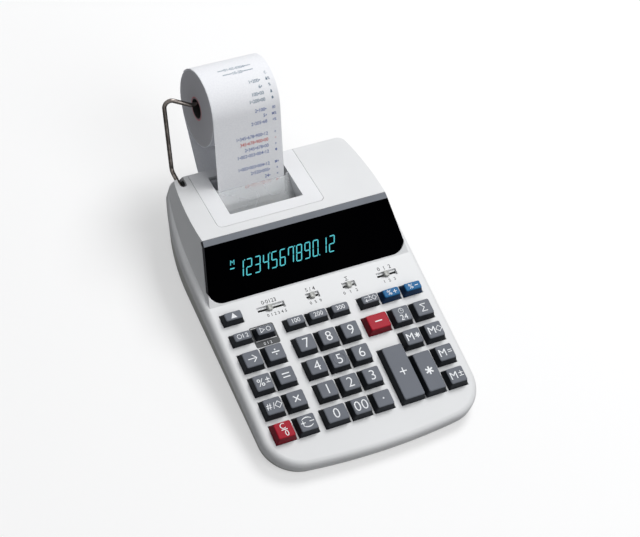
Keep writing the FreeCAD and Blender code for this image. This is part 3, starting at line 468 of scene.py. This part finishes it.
def letters(text, tall, x=0.0, y=0.0, turn=0.0, thin=0.0, squeeze=1.0, align="CENTER"):
    # flat signs with their middle, or their right edge, at a spot of the mark's own plane;
    # a positive thin makes the strokes thinner, a negative one bolder
    bpy.ops.object.select_all(action="DESELECT")
    bpy.ops.object.text_add(location=(0, 0, 0))
    mark = bpy.context.active_object
    mark.data.body = text
    mark.data.size = tall * mm
    mark.data.offset = -thin * mm
    mark.data.resolution_u = 3
    mark.data.extrude = 0.01 * mm
    bpy.ops.object.convert(target="MESH")
    mark = bpy.context.active_object
    spots = [v.co for v in mark.data.vertices]
    right = max(p.x for p in spots)
    middleX = (min(p.x for p in spots) + right) / 2 if align == "CENTER" else right
    middleY = (min(p.y for p in spots) + max(p.y for p in spots)) / 2
    mark.data.transform(
        Matrix.Translation((x * mm, y * mm, 0)) @ Matrix.Rotation(math.radians(turn), 4, "Z") @
        Matrix.Diagonal((squeeze, 1, 1, 1)) @ Matrix.Translation((-middleX, -middleY, 0)))
    return mark


# keys: cap, marks and colours
capStyle = {"flare": 1.75 * mm, "flange": 0.8 * mm, "edge": 0.75 * mm, "corner": 1.3 * mm,
            "skirt": 3.9 * mm, "plate": 1.2 * mm, "plunger": 2.0 * mm, "stem": 0.8 * mm,
            "ink": 0.02 * mm, "edgeAngles": (0, 22, 45, 68, 90), "smoothing": 50,
            "flat": 6e-6}  # a face larger than this, in square metres, stays flat
keyNodes = [name for name in nodes if name.startswith("key_") and name != "key_pad"]
digitMark = {"tall": 11.6, "thin": 0.08, "bold": 9.0}
keyMarks = {
    "key_00": [("0", 11.6, -3.0, 0), ("0", 11.6, 3.0, 0)], "key_point": [("·", 13.0)],
    "key_plus": [("+", 13.0)], "key_star": [("✱", 10.0)], "key_minus": [("−", 13.0)],
    "key_times": [("×", 13.0)], "key_divide": [("÷", 13.5)], "key_equals": [("=", 13.0)],
    "key_percent": [("%", 8.8, -1.9, 0), ("±", 7.6, 4.0, 0.9)], "key_arrow": [("→", 10.5)],
    "key_item": [("#", 7.2, -3.9, 0), ("/", 7.2, 0, 0), ("◇", 6.6, 3.7, 0)],
    "key_sign": [("+", 8.0, -3.6, 0), ("−", 8.0, 3.6, 0.4), (")", 8.6, 0, 3.4, 90),
                 ("(", 8.6, 0, -3.0, 90)],
    "key_clear": [("C", 6.6, -0.6, 3.0), ("−", 11.0, 0, 0), ("0", 6.6, 0.8, -3.1)],
    "key_memory_star": [("M", 8.8, -2.6, 0), ("✱", 6.4, 3.7, 0)],
    "key_memory_diamond": [("M", 8.8, -2.4, 0), ("◇", 6.2, 3.8, 0)],
    "key_memory_equals": [("M", 8.8, -2.6, 0), ("=", 7.2, 3.7, 0.2)],
    "key_memory_plus": [("M", 8.8, -2.6, 0), ("±", 7.6, 3.7, 0.4)],
    "key_time": [("◷", 7.2, 0, 2.6), ("24", 6.6, 0.4, -3.0)],
    "key_grand_total": [("Σ", 9.4)], "key_feed": [("▲", 5.4)],
    "key_mode": [("○", 5.0, -2.6, 0), ("1", 5.0, 0.4, 0), ("2", 5.0, 3.6, 0)],
    "key_start": [("▷", 5.0, -2.4, 0), ("○", 5.0, 2.4, 0)],
    "key_cost": [("100", 5.2)], "key_sell": [("200", 5.2)], "key_margin": [("300", 5.2)],
    "key_convert": [("⇄", 6.2, -1.8, 0), ("◇", 4.8, 3.4, 0)],
    "key_rate_plus": [("%", 5.8, -1.9, 0), ("+", 6.4, 3.0, 0)],
    "key_rate_minus": [("%", 5.8, -1.9, 0), ("−", 6.4, 3.0, 0)]}
for digit in range(10):
    keyMarks[f"key_{digit}"] = [(str(digit), digitMark["tall"])]
fiveRing = {"radius": 4.9 * mm, "thick": 0.28 * mm}


def makeCap(wide, deep):
    # a key: tapered cap with a rounded rim, straight skirt, a flange plate and a plunger
    s = capStyle
    shoulder = capRise - s["edge"]
    flare = s["flare"] * shoulder / capRise
    cap = addBlock("cap", (-wide / 2, -deep / 2, 0), (wide / 2, deep / 2, shoulder))
    startEdit(cap)
    chooseFaces(cap, lambda c, n: n.z > 0.9)
    bpy.ops.transform.resize(value=((wide - 2 * flare) / wide, (deep - 2 * flare) / deep, 1))
    bpy.ops.mesh.select_mode(type="EDGE")
    chooseEdges(cap, lambda a, b: abs(a.z - b.z) > shoulder / 2)
    bpy.ops.mesh.bevel(offset=s["corner"], segments=5)
    bpy.ops.mesh.select_mode(type="FACE")
    chooseFaces(cap, lambda c, n: n.z > 0.9)
    steps = [math.radians(angle) for angle in s["edgeAngles"]]
    for before, after in zip(steps, steps[1:]):
        bpy.ops.mesh.inset(thickness=s["edge"] * (math.cos(before) - math.cos(after)),
                           depth=s["edge"] * (math.sin(after) - math.sin(before)))
    chooseFaces(cap, lambda c, n: n.z < -0.9)
    bpy.ops.mesh.extrude_region_move(TRANSFORM_OT_translate={"value": (0, 0, -s["skirt"])})
    bpy.ops.object.mode_set(mode="OBJECT")
    flange = addBlock("flange", (-wide / 2 + s["corner"], -deep / 2 - s["flange"], -s["skirt"]),
                      (wide / 2 - s["corner"], deep / 2 + s["flange"], -s["skirt"] + s["plate"]))
    stem = addBlock("stem", (-s["plunger"], -s["plunger"], -s["skirt"] - s["stem"]),
                    (s["plunger"], s["plunger"], -s["skirt"] + s["stem"]))
    cap = joined("cap", [cap, flange, stem])
    smooth(cap, s["smoothing"])
    dress(cap, keyTopAbs, keySidePaintedShade)
    for face in cap.data.polygons:
        face.use_smooth = face.area < s["flat"]
        # faces below the rim take the darker side copy, which is painted shade
        face.material_index = 0 if face.center.z > shoulder else 1
    return cap


capMoulds = {}


def capFor(node):
    low, high = deckCorners(node)
    wide = high.x - low.x
    deep = high.y - low.y - 2 * capStyle["flange"]
    size = (round(wide / mm, 1), round(deep / mm, 1))
    if size not in capMoulds:
        capMoulds[size] = makeCap(wide, deep)
    cap = copied(capMoulds[size], node.replace("key_", "cap_"))
    if node == "key_5":
        bpy.ops.object.select_all(action="DESELECT")
        bpy.ops.mesh.primitive_torus_add(
            major_radius=fiveRing["radius"], minor_radius=fiveRing["thick"], major_segments=48,
            minor_segments=8, location=(0, 0, capRise))
        ring = bpy.context.active_object
        bpy.ops.object.transform_apply(location=True, rotation=False, scale=False)
        dress(ring, keyTopAbs, keySidePaintedShade)
        smooth(ring, capStyle["smoothing"])
        cap = joined(cap.name, [cap, ring])
    middle = (low + high) / 2
    settle(cap, deckMatrix(middle.x, middle.y, 0))
    return cap, middle


redKeys = {"key_minus", "key_clear"}
blueKeys = {"key_rate_plus", "key_rate_minus"}
for node in keyNodes:
    cap, middle = capFor(node)
    colours, slotName = (keyTopAbs, keySidePaintedShade), "key_grey"
    if node in redKeys:
        colours, slotName = (redTopAbs, redSidePaintedShade), "key_red"
    if node in blueKeys:
        colours, slotName = (blueTopAbs, blueSidePaintedShade), "key_blue"
    for index, material in enumerate(colours):
        cap.data.materials[index] = material
    finish(cap, node, slotName, node)
    mark = joined(node.replace("key_", "mark_"), [
        letters(*spot, thin=digitMark["thin"] if spot[1] > digitMark["bold"] else 0.0)
        for spot in keyMarks[node]])
    settle(mark, deckMatrix(middle.x, middle.y, capRise + capStyle["ink"]))
    dress(mark, whiteInk)
    finish(mark, node, slotName)
for mould in capMoulds.values():
    bpy.data.objects.remove(mould)
print("keys made:", len(keyNodes))

# display window: the black face, its sloped top edge painted paler as painted light, and its
# rounded ends with a faint painted highlight
lens = mergedCopy("display_lens", "lensWindow")
lensStyle = {"edge": 0.35 * mm, "edgeAngle": 35, "smoothing": 12, "slope": 0.08, "end": 0.6}
applyModifier(lens, "BEVEL", {"width": lensStyle["edge"], "segments": 3,
                              "limit_method": "ANGLE",
                              "angle_limit": math.radians(lensStyle["edgeAngle"])})
smooth(lens, lensStyle["smoothing"])
dress(lens, lensAcrylic, paintedLightEdge, paintedHighlightEnd)
for face in lens.data.polygons:
    normal = face.normal
    steeper = normal.z > windowOut.z + lensStyle["slope"]
    # the sloped top edge gets the paler painted light
    if steeper and normal.y < -0.1 and abs(normal.x) < 0.3:
        face.material_index = 1
    # the rounded ends get the painted highlight
    elif abs(normal.x) > lensStyle["end"]:
        face.material_index = 2
finish(lens, "case", "lens_black", "display_lens")

# lit figures: seven-segment strokes that lean, with small separators between the thousands
figures = {"digits": "123456789012", "wide": 4.2, "tall": 11.8, "stroke": 0.85, "gap": 0.25,
           "pitch": 7.11, "lastX": 23.9, "up": 21.6, "lean": 0.24, "film": 0.02, "lift": 0.03,
           "point": 0.42, "dot": 1.2, "separators": (0, 3, 6), "separatorX": 1.2,
           "decimalPoint": 9, "decimalX": 1.4}
strokesLit = {"0": "abcdef", "1": "bc", "2": "abged", "3": "abgcd", "4": "fgbc", "5": "afgcd",
              "6": "afgedc", "7": "fabc", "8": "abcdefg", "9": "abcdfg"}
strokeSpots = {"a": (0, 1, False), "g": (0, 0, False), "d": (0, -1, False), "f": (-1, 0.5, True),
               "b": (1, 0.5, True), "e": (-1, -0.5, True), "c": (1, -0.5, True)}


def makeStroke(long):
    f = figures
    stroke = addBlock("stroke", (-long * mm / 2, -f["stroke"] * mm / 2, 0),
                      (long * mm / 2, f["stroke"] * mm / 2, f["film"] * mm))
    startEdit(stroke, "EDGE")
    chooseEdges(stroke, lambda a, b: abs(a.z - b.z) > f["film"] * mm / 2)
    bpy.ops.mesh.bevel(offset=f["stroke"] * mm * f["point"], segments=1)
    bpy.ops.object.mode_set(mode="OBJECT")
    return stroke


def setStroke(mould, x, y, upright):
    stroke = copied(mould, "stroke")
    turn = Matrix.Rotation(math.pi / 2 if upright else 0, 4, "Z")
    stroke.data.transform(Matrix.Translation((x * mm, y * mm, 0)) @ turn)
    return stroke


flatStroke = makeStroke(figures["wide"] - figures["gap"])
tallStroke = makeStroke(figures["tall"] / 2 - figures["gap"])
dotStroke = makeStroke(figures["stroke"] * figures["dot"])
strokes = []
for column, digit in enumerate(figures["digits"]):
    x = figures["lastX"] - (len(figures["digits"]) - 1 - column) * figures["pitch"]
    for key in strokesLit[digit]:
        side, level, upright = strokeSpots[key]
        strokes.append(setStroke(tallStroke if upright else flatStroke,
                                 x + side * figures["wide"] / 2,
                                 level * figures["tall"] / 2, upright))
    if column in figures["separators"]:
        strokes.append(setStroke(dotStroke, x + figures["wide"] / 2 + figures["separatorX"],
                                 figures["tall"] / 2, True))
    if column == figures["decimalPoint"]:
        strokes.append(setStroke(dotStroke, x + figures["wide"] / 2 + figures["decimalX"],
                                 -figures["tall"] / 2, True))
memoryMark = {"x": -61.4, "letterUp": 6.4, "lineUp": 2.0, "tall": 5.4}
strokes.append(letters("M", memoryMark["tall"], memoryMark["x"], memoryMark["letterUp"]))
line = setStroke(flatStroke, 0, memoryMark["lineUp"], False)
line.data.transform(Matrix.Translation((memoryMark["x"] * mm, 0, 0)))
strokes.append(line)
lit = joined("litFigures", strokes)
leaning = Matrix.Identity(4)
leaning[0][1] = figures["lean"]
lit.data.transform(leaning)
settle(lit, windowMatrix(0, figures["up"] * mm, figures["lift"] * mm))
dress(lit, phosphor)
finish(lit, "case", "lens_black")
for mould in (flatStroke, tallStroke, dotStroke):
    bpy.data.objects.remove(mould)
print("display made")

# slide switches: a rounded grip in its pocket, a stem through the slit and a guide under it
knobStyle = {"rise": 1.8 * mm, "pocket": 1.6 * mm, "clear": 0.3 * mm, "corner": 1.1 * mm,
             "edge": 0.4 * mm, "stemWide": 1.2 * mm, "stemIn": 0.4 * mm, "guide": 1.2 * mm,
             "guideOver": 1.2 * mm, "ridge": 0.35 * mm, "ridgeDeep": 0.25 * mm,
             "long": 3.8 * mm, "wide": 4.8 * mm, "smoothing": 40}
knobNodes = [name for name in nodes if name.startswith("switch_")]


def makeKnob(depth):
    s = knobStyle
    low = s["clear"] - s["pocket"]
    grip = addBlock("grip", (-s["long"] / 2, -s["wide"] / 2, low),
                    (s["long"] / 2, s["wide"] / 2, s["rise"]))
    startEdit(grip, "EDGE")
    chooseEdges(grip, lambda a, b: abs(a.z - b.z) > s["rise"])
    bpy.ops.mesh.bevel(offset=s["corner"], segments=5)
    bpy.ops.mesh.select_mode(type="FACE")
    chooseFaces(grip, lambda c, n: n.z > 0.9)
    bpy.ops.mesh.bevel(offset=s["edge"], segments=3)
    chooseFaces(grip, lambda c, n: n.z > 0.999 and c.z > s["rise"] * 0.95)
    bpy.ops.mesh.inset(thickness=s["ridge"])
    bpy.ops.transform.translate(value=(0, 0, -s["ridgeDeep"]))
    bpy.ops.object.mode_set(mode="OBJECT")
    stem = addBlock("stem", (-s["long"] / 2 + s["stemIn"], -s["stemWide"] / 2, -depth),
                    (s["long"] / 2 - s["stemIn"], s["stemWide"] / 2, low + s["edge"]))
    guide = addBlock("guide", (-s["long"] / 2, -s["stemWide"] / 2 - s["guideOver"], -depth),
                     (s["long"] / 2, s["stemWide"] / 2 + s["guideOver"], -depth + s["guide"]))
    return joined("knob", [grip, stem, guide])


for node in knobNodes:
    low, high = deckCorners(node)
    knob = makeKnob(-(low.z - deckLevel))
    knob.name = node.replace("switch_", "knob_")
    smooth(knob, knobStyle["smoothing"])
    middle = (low + high) / 2
    settle(knob, deckMatrix(middle.x, middle.y, 0))
    dress(knob, knobAbs)
    finish(knob, node, "key_grey", node)
switchLine = deckCorners("switch_power")
switchAlong = (switchLine[0].y + switchLine[1].y) / 2
deckPrint = {"above": 5.6, "below": -5.8, "tall": 4.6, "tiny": 3.6, "bold": -0.04,
             "lift": 0.02}
switchMarks = {
    "decimal": (-40.0, "0·0123", [(x, str(i)) for i, x in enumerate(range(-45, -27, 3))]),
    "rounding": (-4.4, "5 / 4", [(-8.6, "0"), (-4.4, "5"), (-0.2, "9")]),
    "total": (27.2, "Σ", [(20.6, "0"), (26.0, "1"), (31.4, "2")]),
    "power": (60.6, "0  1  2", [(56.0, "1"), (60.6, "2"), (65.2, "3")])}
for name, (x, above, below) in switchMarks.items():
    rows = [letters(above, deckPrint["tall"], 0, deckPrint["above"], thin=deckPrint["bold"])]
    rows += [letters(text, deckPrint["tiny"], at - x, deckPrint["below"], thin=deckPrint["bold"])
             for at, text in below]
    mark = joined("print_" + name, rows)
    settle(mark, deckMatrix(x * mm, switchAlong, deckPrint["lift"] * mm))
    dress(mark, darkInk)
    finish(mark, "case", "case_plastic")
print("switches made:", len(knobNodes))

# dark printed patch round one small key, with a hole where the key stands
patch = {"side": 1.6, "front": 5.2, "back": 1.0, "corner": 1.6, "film": 0.02, "lift": 0.005,
         "clear": 0.1, "signs": "0 1 2", "signTall": 3.4, "signShare": 0.55, "signLift": 0.045}
low, high = deckCorners("key_start")
clear = patch["clear"] * mm
outer = addBlock("patchPrint", (low.x - patch["side"] * mm, low.y - patch["front"] * mm, 0),
                 (high.x + patch["side"] * mm, high.y + patch["back"] * mm, patch["film"] * mm))
startEdit(outer, "EDGE")
chooseEdges(outer, lambda a, b: abs(a.z - b.z) > patch["film"] * mm / 2)
bpy.ops.mesh.bevel(offset=patch["corner"] * mm, segments=5)
bpy.ops.object.mode_set(mode="OBJECT")
hole = addBlock("patchHole", (low.x - clear, low.y - clear, -mm),
                (high.x + clear, high.y + clear, mm))
applyModifier(outer, "BOOLEAN", {"object": hole, "operation": "DIFFERENCE", "solver": "EXACT"})
bpy.data.objects.remove(hole)
settle(outer, deckMatrix(0, 0, patch["lift"] * mm))
dress(outer, darkInk)
finish(outer, "case", "case_plastic")
signs = letters(patch["signs"], patch["signTall"])
signsAlong = low.y - patch["front"] * patch["signShare"] * mm
settle(signs, deckMatrix((low.x + high.x) / 2, signsAlong, patch["signLift"] * mm))
signs.name = "patchSigns"
dress(signs, whiteInk)
finish(signs, "case", "case_plastic")

# paper tape: the strip's own shape, cut into short lengths
tape = mergedCopy("paper_strip", "paperTape")
# the bend runs up and back, from about the height of the rear slot to the roll
tapeBend = {"start": Vector((0, 108.5, 41.6)) * mm, "end": Vector((0, 137.7, 76.6)) * mm,
            "cuts": 23, "smoothing": 40}
bendWay = tapeBend["end"] - tapeBend["start"]
startEdit(tape)
for cutNumber in range(tapeBend["cuts"] + 1):
    bpy.ops.mesh.select_all(action="SELECT")
    bpy.ops.mesh.bisect(plane_co=tapeBend["start"] + bendWay * cutNumber / tapeBend["cuts"],
                        plane_no=bendWay.normalized())
bpy.ops.object.mode_set(mode="OBJECT")
smooth(tape, tapeBend["smoothing"])
dress(tape, tapePaper)
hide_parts("paper_strip")


def bendWithArm(piece):
    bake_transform(piece)


# where the front of the strip runs: straight up from the mouth, then round the roll
frontFaces = [face for face in nodes["paper_strip"].data.polygons
              if face.normal.y < -0.6 and face.normal.z > 0.2 and face.center.z > 0.05]
frontFace = max(frontFaces, key=lambda face: face.area)
frontOut = frontFace.normal.normalized()
frontUp = frontOut.cross(Vector((1, 0, 0)))
rollMiddle = Vector(joints["roll_spin"]["pos_m"])
wrapRadius = (frontFace.center - rollMiddle).dot(frontOut)


def tapeMatrix(x, up, out):
    # up is measured from where the strip meets the roll; above it the spot goes round
    angle = max(up, 0) / wrapRadius
    outward = frontOut * math.cos(angle) + frontUp * math.sin(angle)
    upward = frontUp * math.cos(angle) - frontOut * math.sin(angle)
    spot = Vector((x, rollMiddle.y, rollMiddle.z)) + outward * (wrapRadius + out)
    spot += upward * min(up, 0)
    return Matrix.Translation(spot) @ turnTo(upward, outward)


tapePrint = {"pitch": 5.15, "tall": 3.9, "squeeze": 0.95, "right": 0.6, "bold": -0.03,
             "signX": 6.9, "signShare": 0.85, "signSqueeze": 0.8, "signBold": -0.04,
             "first": -60.5, "film": 0.04, "wideRow": 18, "wideRight": -1.0}
tapeRows = [
    (0, "60·480·120·00", "M−", ribbonRed), (1, "24·", "=", ribbonBlue),
    (2, "2·520·005·", "×", ribbonBlue), (3, "1·002·003·004·12", "M+", ribbonBlue),
    (5, "1·002·003·004·12", "✱", ribbonBlue), (6, "2·345·678·00", "+", ribbonBlue),
    (7, "345·678·900·00", "−", ribbonRed), (8, "1·345·678·900·12", "+", ribbonBlue),
    (10, "2·205·68", "+%", ribbonBlue), (11, "5·", "M%", ribbonBlue),
    (12, "2·100·", "00", ribbonBlue), (13.5, "1·200·00", "✱", ribbonGrey),
    (14.5, "100·00", "Δ", ribbonGrey), (15.5, "6·", "%", ribbonGrey),
    (16.5, "1·200·", "Δ%", ribbonGrey), (17.5, "", "C", ribbonGrey),
    (18.6, "······10-20·······", "", ribbonGrey), (19.6, "····01-02-0304····", "", ribbonGrey)]
for row, number, sign, ink in tapeRows:
    marks = []
    if number:
        right = tapePrint["right" if row < tapePrint["wideRow"] else "wideRight"]
        marks.append(letters(number.replace("·", "•"), tapePrint["tall"], right,
                             thin=tapePrint["bold"], squeeze=tapePrint["squeeze"],
                             align="RIGHT"))
    if sign:
        marks.append(letters(sign, tapePrint["tall"] * tapePrint["signShare"],
                             tapePrint["signX"], thin=tapePrint["signBold"],
                             squeeze=tapePrint["signSqueeze"]))
    mark = joined(f"tapeRow{int(row * 2):02d}", marks)
    up = (tapePrint["first"] + row * tapePrint["pitch"]) * mm
    settle(mark, tapeMatrix(0, up, tapePrint["film"] * mm))
    dress(mark, ink)
    bendWithArm(mark)
bendWithArm(tape)
print("tape made:", len(tapeRows), "printed rows")

# wire arm: the bent wire with its surface smoothed
wire = mergedCopy("paper_arm", "wireArm")
wireSmoothing = 60
smooth(wire, wireSmoothing)
dress(wire, chromeWire)
finish(wire, "arm", "chrome_wire", "paper_arm")
print("arm made")

# floor, light and camera
studio = {"floorHalf": 4.0, "floorColour": "#ffffff", "bounceColour": "#8c8c8c",
          "floorGlow": 0.5, "lampAim": (0, 0, 0.03), "keyPlace": (0.9, 0.7, 1.7),
          "keySize": 1.0, "keyWatts": 26.0, "fillPlace": (0.7, -1.3, 1.6), "fillSize": 1.4,
          "fillWatts": 12.0, "world": 0.29, "worldColour": (0.95, 0.97, 1.0, 1)}
bpy.ops.mesh.primitive_plane_add(size=2 * studio["floorHalf"], location=(0, 0, 0))
floor = bpy.context.active_object
floor.name = "floor"
floorPaint, tree, shader = newMaterial("floorPaint", {"Roughness": 0.95})
ray = addNode(tree, "ShaderNodeLightPath")
tone = addNode(tree, "ShaderNodeMix", {"data_type": "RGBA"}, {"Factor": (ray, "Is Camera Ray")})
tone.inputs[6].default_value = linear(studio["bounceColour"])
tone.inputs[7].default_value = linear(studio["floorColour"])
tree.links.new(tone.outputs[2], shader.inputs["Base Color"])
glow = addNode(tree, "ShaderNodeEmission", {"Color": (1, 1, 1, 1), "Strength": 1.0})
share = addNode(tree, "ShaderNodeMath", {"operation": "MULTIPLY", 1: studio["floorGlow"]},
                {0: (ray, "Is Camera Ray")})
lift = addNode(tree, "ShaderNodeMixShader", links={
    0: (share, "Value"), 1: (shader, "BSDF"), 2: (glow, "Emission")})
end = next(node for node in tree.nodes if node.type == "OUTPUT_MATERIAL")
tree.links.new(lift.outputs["Shader"], end.inputs["Surface"])
dress(floor, floorPaint)


def softLight(name, spot, aim, size, watts):
    bpy.ops.object.light_add(type="AREA", location=spot)
    lamp = bpy.context.active_object
    lamp.name = name
    lamp.data.shape = "DISK"
    lamp.data.size = size
    lamp.data.energy = watts
    lamp.rotation_euler = (Vector(aim) - Vector(spot)).to_track_quat("-Z", "Y").to_euler()


for lampName in ("key", "fill"):
    softLight(lampName + "Light", studio[lampName + "Place"], studio["lampAim"],
              studio[lampName + "Size"], studio[lampName + "Watts"])
world = bpy.data.worlds.new("studio")
bpy.context.scene.world = world
world.use_nodes = True
tree = world.node_tree
tree.nodes.clear()
ray = addNode(tree, "ShaderNodeLightPath")
first = addNode(tree, "ShaderNodeMath", {"operation": "MAXIMUM"}, {
    0: (ray, "Is Camera Ray"), 1: (ray, "Is Transmission Ray")})
seen = addNode(tree, "ShaderNodeMath", {"operation": "MAXIMUM"}, {
    0: (first, "Value"), 1: (ray, "Is Glossy Ray")})
plain = addNode(tree, "ShaderNodeBackground", {"Color": studio["worldColour"],
                                               "Strength": studio["world"]})
white = addNode(tree, "ShaderNodeBackground", {"Color": (1, 1, 1, 1), "Strength": 1.0})
sky = addNode(tree, "ShaderNodeMixShader", links={
    0: (seen, "Value"), 1: (plain, "Background"), 2: (white, "Background")})
addNode(tree, "ShaderNodeOutputWorld", links={"Surface": (sky, "Shader")})

cameraPose = {"place": (-0.5498, -0.7109, 1.1863), "aim": (0.0133, -0.0041, 0.03),
              "roll": 16.23, "lens": 105.8, "sensor": 36.0}
bpy.ops.object.camera_add(location=cameraPose["place"])
camera = bpy.context.active_object
camera.data.lens = cameraPose["lens"]
camera.data.sensor_width = cameraPose["sensor"]
look = (Vector(cameraPose["aim"]) - Vector(cameraPose["place"])).to_track_quat("-Z", "Y")
camera.rotation_euler = (look @ Quaternion((0, 0, 1), math.radians(cameraPose["roll"]))).to_euler()
bpy.context.scene.camera = camera
bpy.context.scene.view_settings.view_transform = "Standard"
print("stage set")
